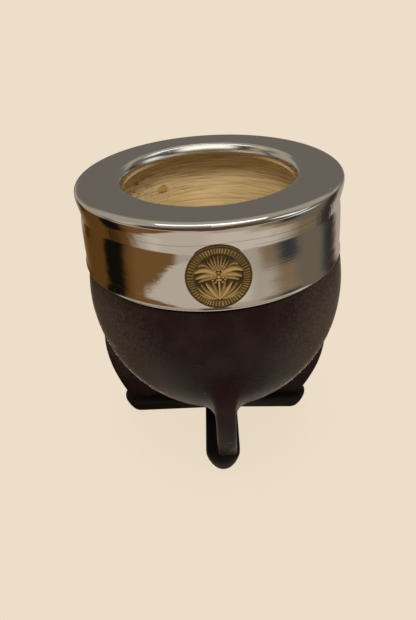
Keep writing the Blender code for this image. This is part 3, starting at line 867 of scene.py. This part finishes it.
def medal_relief(x, y):
    """Height of the relief, 0 to 1, at places in units of the medallion's radius.

    A plain edge and a border of even reeds go round a sheaf of leaves under a flower head.
    """
    far = np.hypot(x, y)
    angle = np.arctan2(x, y)
    window = np.clip((far - 0.72) / 0.04, 0.0, 1.0) * np.clip((0.96 - far) / 0.03, 0.0, 1.0)
    turned = 62.0 * angle + 1.5 * np.sin(3.0 * angle + 1.0) + 1.1 * np.sin(7.0 * angle)
    reeds = 0.10 + 0.90 * (0.5 + 0.5 * np.cos(turned)) ** 0.8
    reeds = window * reeds * (0.85 + 0.15 * np.sin(11.0 * angle))
    parts = [0.8 * reeds, 0.6 * np.clip((far - 0.965) / 0.02, 0.0, 1.0)]
    side = np.abs(x)
    parts.append(0.9 * leaf(x, y, ((0.0, -0.68), (0.01, -0.3), (0.0, 0.0)), 0.045, 0.1))
    for *points, width, top in LEAF_PAIRS:
        parts.append(top * leaf(side, y, points, width, 0.65))
    for reach, count, size in ((0.0, 1, 0.08), (0.12, 7, 0.058), (0.215, 12, 0.055)):
        for i in range(count):
            turn = 2.0 * math.pi * i / count
            ball = np.hypot(x - reach * math.sin(turn), y - 0.07 - reach * math.cos(turn)) / size
            parts.append(0.95 * np.sqrt(np.clip(1.0 - ball ** 2, 0.0, 1.0)))
    for degrees in range(-72, 73, 12):
        turn = math.radians(degrees)
        reaches = (0.16, 0.36, 0.60 - 0.12 * abs(math.sin(turn)))
        points = [(reach * math.sin(turn), 0.1 + reach * math.cos(turn)) for reach in reaches]
        parts.append(0.75 * leaf(x, y, points, 0.038, 0.5))
    return np.maximum.reduce(parts)


def brass_look(settings):
    """Antique brass: dark in the hollows, rubbed bright on the crests, with a fine pitting."""
    look, tree, shader = new_look("Antique brass")
    place = object_place(tree)
    relief = add_node(tree, "ShaderNodeAttribute", attribute_name="relief").outputs["Fac"]
    pits = noise(tree, place, 900.0, 3.0, 0.6)
    level = calc(tree, "MULTIPLY_ADD", calc(tree, "SUBTRACT", pits, 0.5), 0.35, relief)
    colour = ramp(tree, level, ((0.0, settings.brass_hollow), (0.22, settings.brass_middle),
                                (0.85, settings.brass_crest)))
    set_shader(tree, shader, Base_Color=colour, Metallic=rise(tree, level, 0.0, 0.4, 0.6, 1.0),
               Roughness=rise(tree, level, 0.1, 0.9, 0.55, 0.33), Normal=bump(tree, pits, 0.3, 0.0001))
    return look


def make_medallion(settings):
    """A round coin bent round the band: flat back, upright edge, relief on its face."""
    angles = np.radians(even(0.0, 360.0, MEDAL_COLUMNS))
    shares = np.concatenate([np.linspace(0.02, 0.66, 62), np.linspace(0.67, 0.985, 50)])
    share, angle = np.meshgrid(shares, angles, indexing="ij")
    x, y = share * np.sin(angle), share * np.cos(angle)
    relief = medal_relief(x, y)
    face = MEDAL_FACE + settings.relief_depth / MM * relief
    back_shares = np.array([0.02, 0.3, 0.6, 0.9, 0.985, 1.0, 1.0, 1.0, 0.995])
    back_heights = np.array([0.0, 0.0, 0.0, 0.0, 0.0, 0.05, 0.25, 0.45, 0.52])
    back_share, back_angle = np.meshgrid(back_shares, angles, indexing="ij")
    all_share = np.concatenate([back_share, share[::-1]])
    all_angle = np.concatenate([back_angle, angle[::-1]])
    height = np.concatenate([back_heights[:, None] + np.zeros_like(back_angle), face[::-1]])
    across = all_share * MEDAL_RADIUS * np.sin(all_angle)
    up = all_share * MEDAL_RADIUS * np.cos(all_angle)
    drop = MEDAL_DROP - up
    radius = band_radius(drop) + MEDAL_SEAT + height
    turn = math.radians(MEDAL_AZIMUTH) + across / MEDAL_BEND
    rings = around(radius, turn, HEIGHT - drop)
    middle = float(band_radius(np.array(MEDAL_DROP))) + MEDAL_SEAT
    centre_face = MEDAL_FACE + settings.relief_depth / MM * 0.9
    aim = math.radians(MEDAL_AZIMUTH)
    poles = around(np.array((middle, middle + centre_face)), aim, HEIGHT - MEDAL_DROP)
    piece = ring_body("brass_medallion", rings, poles, brass_look(settings))
    values = np.concatenate([np.full(back_share.shape, 0.15), relief[::-1]]).reshape(-1)
    values = np.concatenate([values, (0.15, 0.9)])
    piece.data.attributes.new("relief", "FLOAT", "POINT").data.foreach_set("value", values)
    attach(piece, "root")
    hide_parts("medallion")


# Stage

def linear(*levels):
    """Screen colour of 0 to 255 as linear light."""
    shares = [level / 255.0 for level in levels]
    return tuple(s / 12.92 if s <= 0.04045 else ((s + 0.055) / 1.055) ** 2.4 for s in shares)


def tone(name):
    """Linear light that the steel has to meet to show a named tone."""
    return tuple(level / STEEL_GAIN for level in linear(*TONES[name]))


def round_ramp(tree, azimuth, runs):
    """Tones round the compass, from -180 to 180 degrees: runs of a name and its azimuths."""
    stops = [((place + 180.0) / 360.0, tone(name)) for name, *places in runs for place in places]
    return ramp(tree, calc(tree, "MULTIPLY_ADD", azimuth, 1.0 / 360.0, 0.5), stops)


def layered(tree, azimuth, measure, layers):
    """Layers of tones, each taking over from the one before while measure goes through its limits."""
    colour = round_ramp(tree, azimuth, layers[0][1])
    for limits, runs in layers[1:]:
        colour = blend(tree, rise(tree, measure, *limits), colour, round_ramp(tree, azimuth, runs))
    return colour


def soft_spot(tree, azimuth, level, place, size, edge):
    """1 inside an oval of the given half sizes in degrees round (azimuth, level), fading over edge."""
    across = calc(tree, "DIVIDE", calc(tree, "SUBTRACT", azimuth, place[0]), size[0])
    up = calc(tree, "DIVIDE", calc(tree, "SUBTRACT", level, place[1]), size[1])
    return rise(tree, long_side(tree, across, up), 1.0 - edge, 1.0 + edge, 1.0, 0.0)


def scaled(colour, share):
    return tuple(value * share for value in colour)


def by_rays(tree, eye, polish, matt):
    """One colour for the eye, one for polished surfaces and one for the light on matt ones."""
    rays = add_node(tree, "ShaderNodeLightPath").outputs
    return blend(tree, rays["Is Camera Ray"], blend(tree, rays["Is Glossy Ray"], matt, polish), eye)


def floor_look(settings):
    """Pale to the eye; in the polish of the steel it shows as a brown table with a lit board on it."""
    look = bpy.data.materials.new("Pale floor")
    tree = empty_tree(look)
    place = object_place(tree)
    azimuth, far, _ = polar(tree, place)
    turns = add_node(tree, "ShaderNodeCombineXYZ", {"X": times(tree, azimuth, COMB_SIDEWAYS),
                                                    "Y": times(tree, far, COMB_OUTWARDS)}).outputs[0]
    comb = times(tree, calc(tree, "SUBTRACT", noise(tree, turns, 1.0, 1.0), 0.5),
                 rise(tree, azimuth, -10.0, 40.0, 1.0, 1.5))
    azimuth = calc(tree, "MULTIPLY_ADD", comb, settings.comb_depth, azimuth)
    parts = axes(tree, place)
    border = calc(tree, "MULTIPLY_ADD", comb, settings.comb_depth * COMB_SHIFT, parts["X"])
    board = times(tree, rise(tree, border, *BOARD_SIDE), rise(tree, parts["Y"], *BOARD_FRONT, 1.0, 0.0),
                  rise(tree, parts["X"], *BOARD_END, 1.0, 0.0))
    table = blend(tree, board, layered(tree, azimuth, far, FLOOR_LAYERS), tone("clear"))
    shade = add_node(tree, "ShaderNodeAmbientOcclusion", {"Distance": SHADE_REACH}, samples=8).outputs["AO"]
    pale = settings.floor_colour
    seen = blend(tree, rise(tree, shade, 0.2, 1.0), scaled(pale, settings.contact_shade), pale)
    colour = by_rays(tree, seen, table, scaled(pale, settings.floor_fill))
    glow = add_node(tree, "ShaderNodeEmission", {"Color": colour, "Strength": 1.0}).outputs[0]
    add_node(tree, "ShaderNodeOutputMaterial", {"Surface": glow})
    return look


def light_world(settings):
    """Even fill for matt surfaces; polished ones see a dim room, paler behind, with a few soft lamps."""
    world = bpy.data.worlds.new("Studio")
    bpy.context.scene.world = world
    tree = empty_tree(world)
    azimuth, _, up = polar(tree, add_node(tree, "ShaderNodeTexCoord").outputs["Generated"])
    level = times(tree, calc(tree, "ARCSINE", up), 180.0 / math.pi)
    room = layered(tree, azimuth, level, ROOM_LAYERS)
    for place, size, edge, name in ROOM_LAMPS:
        room = blend(tree, soft_spot(tree, azimuth, level, place, size, edge), room, tone(name))
    colour = by_rays(tree, settings.floor_colour, room, scaled(FILL_COLOUR, settings.sky_fill))
    glow = add_node(tree, "ShaderNodeBackground", {"Color": colour, "Strength": 1.0}).outputs[0]
    add_node(tree, "ShaderNodeOutputWorld", {"Surface": glow})


def make_floor(settings):
    """A wide level square at z = 0."""
    corners = [(x * FLOOR_HALF, y * FLOOR_HALF, 0.0) for x, y in ((-1, -1), (1, -1), (1, 1), (-1, 1))]
    new_mesh("floor", corners, [(0, 1, 2, 3)], floor_look(settings))


def make_sun(name, azimuth, strength):
    """One part of the soft key light, from an azimuth; polished surfaces don't see it."""
    light = bpy.data.lights.new(name, "SUN")
    light.energy = strength
    light.angle = math.radians(KEY_WIDTH)
    light.color = KEY_COLOUR
    lamp = new_object(name, light)
    lamp.rotation_euler = (math.radians(90.0 - KEY_HEIGHT), 0.0, math.radians(azimuth))
    lamp.visible_glossy = False


def make_card(glow):
    """A small lamp panel facing down on the mouth, seen only in polished surfaces."""
    light = bpy.data.lights.new("mouth_card", "AREA")
    light.shape = "RECTANGLE"
    light.size, light.size_y = CARD_SIZE
    light.energy = glow * math.pi * CARD_SIZE[0] * CARD_SIZE[1]
    lamp = new_object("mouth_card", light)
    lamp.location = CARD_PLACE
    lamp.visible_camera = False
    lamp.visible_diffuse = False


def make_mouth_screen():
    """A steep lit screen over the near lip, seen only in the far lip: brown low down, white above.

    It faces back and a little down, lets rays through from behind, and fades out to its sides.
    """
    look = bpy.data.materials.new("Mouth screen")
    tree = empty_tree(look)
    parts = axes(tree, object_place(tree))
    share = rise(tree, parts["Z"], SCREEN_LOW[1], SCREEN_HIGH[1], kind="LINEAR")
    glow = ramp(tree, share, [(place, linear(*colour)) for place, colour in SCREEN_GLOW])
    side = rise(tree, calc(tree, "ABSOLUTE", parts["X"]), 0.4 * SCREEN_HALF, SCREEN_HALF, 1.0, 0.0)
    top = rise(tree, parts["Z"], SCREEN_FADE_Z, SCREEN_HIGH[1], 1.0, 0.5)
    behind = add_node(tree, "ShaderNodeNewGeometry").outputs["Backfacing"]
    seen = times(tree, side, top, calc(tree, "SUBTRACT", 1.0, behind))
    clear = add_node(tree, "ShaderNodeBsdfTransparent").outputs[0]
    lit = add_node(tree, "ShaderNodeEmission", {"Color": glow, "Strength": SCREEN_STRENGTH}).outputs[0]
    mixed = add_node(tree, "ShaderNodeMixShader", {0: seen, 1: clear, 2: lit}).outputs[0]
    add_node(tree, "ShaderNodeOutputMaterial", {"Surface": mixed})
    corners = [(-SCREEN_HALF, *SCREEN_LOW), (SCREEN_HALF, *SCREEN_LOW),
               (SCREEN_HALF, *SCREEN_HIGH), (-SCREEN_HALF, *SCREEN_HIGH)]
    screen = new_mesh("mouth_screen", corners, [(3, 2, 1, 0)], look)
    for rays in ("camera", "diffuse", "shadow", "transmission", "volume_scatter"):
        setattr(screen, "visible_" + rays, False)


def make_camera():
    """The camera at the picture's place and angle."""
    right, up = np.array(CAMERA_RIGHT), np.array(CAMERA_UP)
    right = right / np.linalg.norm(right)
    back = np.cross(right, up / np.linalg.norm(up))
    back = back / np.linalg.norm(back)
    data = bpy.data.cameras.new("picture_camera")
    data.sensor_fit = "VERTICAL"
    data.sensor_height = 36.0
    data.lens = CAMERA_LENS
    data.clip_start = 0.01
    turn = Matrix([right, np.cross(back, right), back]).transposed().to_4x4()
    turn.translation = CAMERA_PLACE
    camera = new_object("picture_camera", data)
    camera.matrix_world = turn
    bpy.context.scene.camera = camera


def colour_property(name, description, default):
    return FloatVectorProperty(name=name, description=description, default=default, size=3, subtype="COLOR",
                               min=0.0, max=1.0)


def length_property(name, description, default):
    return FloatProperty(name=name, description=description, default=default, min=0.0, unit="LENGTH",
                         subtype="DISTANCE")


def share_property(name, description, default, top=1.0):
    return FloatProperty(name=name, description=description, default=default, min=0.0, max=top)


class LeatherSettings(bpy.types.PropertyGroup):
    """Colours and relief of the skin and its sole"""
    leather_colour: colour_property("Leather", "Colour of the waxed skin", (0.0072, 0.0026, 0.0026))
    leather_worn: colour_property("Mottling", "Paler patches of the skin", (0.0145, 0.0068, 0.0058))
    # Painted shade in the hollow over the front leg
    leather_hollow_shade: colour_property("Hollow", "Painted shade: darker, redder skin in the hollow over the front leg", (0.0080, 0.0008, 0.0010))
    # Painted sheen at the sides of the skin
    leather_painted_sheen: colour_property("Painted sheen", "Painted sheen: paler, speckled skin at the sides", (0.100, 0.076, 0.064))
    leather_roughness: share_property("Roughness", "Roughness of the skin", 0.42)
    leather_sheen: share_property("Sheen", "Pale sheen of the skin's edges", 0.25)
    dent_depth: length_property("Dents", "Depth of the skin's soft dents", 0.0003)
    sole_colour: colour_property("Sole", "Colour of the blackened sole", (0.004, 0.0034, 0.003))
    sole_worn: colour_property("Sole edge", "Colour of the sole's rubbed edge", (0.014, 0.0085, 0.005))


class GourdSettings(bpy.types.PropertyGroup):
    """Colours and relief of the calabash"""
    gourd_colour: colour_property("Gourd", "Colour near the mouth", (0.86, 0.68, 0.375))
    gourd_light: colour_property("Light grain", "Colour of the pale grain lines", (0.95, 0.79, 0.49))
    gourd_deep: colour_property("Depth", "Colour deep inside", (0.36, 0.245, 0.105))
    gourd_grain: colour_property("Grain", "Colour of the grain lines", (0.45, 0.30, 0.14))
    scrape_depth: length_property("Scraping", "Unevenness of the scraped wall", 0.0005)


class MetalSettings(bpy.types.PropertyGroup):
    """Finish of the collar and the medallion"""
    steel_colour: colour_property("Steel", "Colour of the polished steel", (0.88, 0.88, 0.88))
    steel_roughness: share_property("Steel roughness", "Roughness of the polished steel", 0.035)
    polish_lines: share_property("Polish lines", "Strength of the level polish lines", 0.5)
    brass_hollow: colour_property("Hollows", "Dark brass in the hollows", (0.050, 0.032, 0.013))
    brass_middle: colour_property("Brass", "Brass between hollows and crests", (0.25, 0.175, 0.067))
    brass_crest: colour_property("Crests", "Rubbed brass on the crests", (0.82, 0.61, 0.28))
    relief_depth: length_property("Relief", "Height of the medallion's relief", 0.0006)


class StageSettings(bpy.types.PropertyGroup):
    """Floor and light"""
    floor_colour: colour_property("Floor", "Colour of the floor and the background", (0.847, 0.730, 0.584))
    contact_shade: share_property("Contact shade", "Brightness of the floor right under the cup", 0.94)
    comb_depth: share_property("Combing", "Raggedness of the mirrored borders, in degrees", 20.0, 90.0)
    floor_fill: share_property("Floor fill", "Light that the floor gives back to matt surfaces", 0.25)
    sky_fill: share_property("Sky fill", "Even light on matt surfaces", 0.35)
    key_strength: share_property("Key light", "Strength of the soft key light, in three parts", 4.9, 20.0)
    card_glow: share_property("Mouth lamp", "Brightness of the lamp panel over the mouth", 1.2, 20.0)


class MATE_OT_leather(bpy.types.Operator):
    """Build the leather skin and its sole"""
    bl_idname = "mate.leather"
    bl_label = "Leather skin and sole"

    def execute(self, context):
        make_leather(context.scene.mate_leather)
        make_sole(context.scene.mate_leather)
        return {"FINISHED"}


class MATE_OT_gourd(bpy.types.Operator):
    """Build the gourd shell"""
    bl_idname = "mate.gourd"
    bl_label = "Gourd shell"

    def execute(self, context):
        make_gourd(context.scene.mate_gourd)
        return {"FINISHED"}


class MATE_OT_collar(bpy.types.Operator):
    """Build the steel collar"""
    bl_idname = "mate.collar"
    bl_label = "Steel collar"

    def execute(self, context):
        make_collar(context.scene.mate_metal)
        return {"FINISHED"}


class MATE_OT_medallion(bpy.types.Operator):
    """Build the brass medallion"""
    bl_idname = "mate.medallion"
    bl_label = "Brass medallion"

    def execute(self, context):
        make_medallion(context.scene.mate_metal)
        return {"FINISHED"}


class MATE_OT_stage(bpy.types.Operator):
    """Build the floor, the lights and the camera"""
    bl_idname = "mate.stage"
    bl_label = "Stage"

    def execute(self, context):
        settings = context.scene.mate_stage
        context.scene.view_settings.view_transform = "Standard"
        make_floor(settings)
        light_world(settings)
        for name, azimuth, share in KEY_PARTS:
            make_sun(name, azimuth, settings.key_strength * share)
        make_card(settings.card_glow)
        make_mouth_screen()
        make_camera()
        return {"FINISHED"}


class MATE_PT_panel(bpy.types.Panel):
    """Buttons and settings of the cup"""
    bl_label = "Mate gourd cup"
    bl_space_type = "VIEW_3D"
    bl_region_type = "UI"
    bl_category = "Mate cup"

    def draw(self, context):
        layout = self.layout
        for name, operators in PARTS.items():
            box = layout.box()
            for operator in operators:
                box.operator(operator)
            settings = getattr(context.scene, name)
            for field in settings.__annotations__:
                box.prop(settings, field)


PARTS = {"mate_stage": ("mate.stage",), "mate_gourd": ("mate.gourd",), "mate_leather": ("mate.leather",),
         "mate_metal": ("mate.collar", "mate.medallion")}
SETTINGS = {"mate_stage": StageSettings, "mate_gourd": GourdSettings, "mate_leather": LeatherSettings,
            "mate_metal": MetalSettings}
OPERATORS = (MATE_OT_stage, MATE_OT_gourd, MATE_OT_leather, MATE_OT_collar, MATE_OT_medallion)


def register():
    for kind in (*SETTINGS.values(), *OPERATORS, MATE_PT_panel):
        bpy.utils.register_class(kind)
    for name, kind in SETTINGS.items():
        setattr(bpy.types.Scene, name, PointerProperty(type=kind))


def unregister():
    for name in SETTINGS:
        delattr(bpy.types.Scene, name)
    for kind in reversed((*SETTINGS.values(), *OPERATORS, MATE_PT_panel)):
        bpy.utils.unregister_class(kind)


def main():
    """Build everything in order."""
    register()
    bpy.ops.mate.stage()
    bpy.ops.mate.gourd()
    bpy.ops.mate.leather()
    bpy.ops.mate.collar()
    bpy.ops.mate.medallion()


if __name__ == "__main__":
    main()
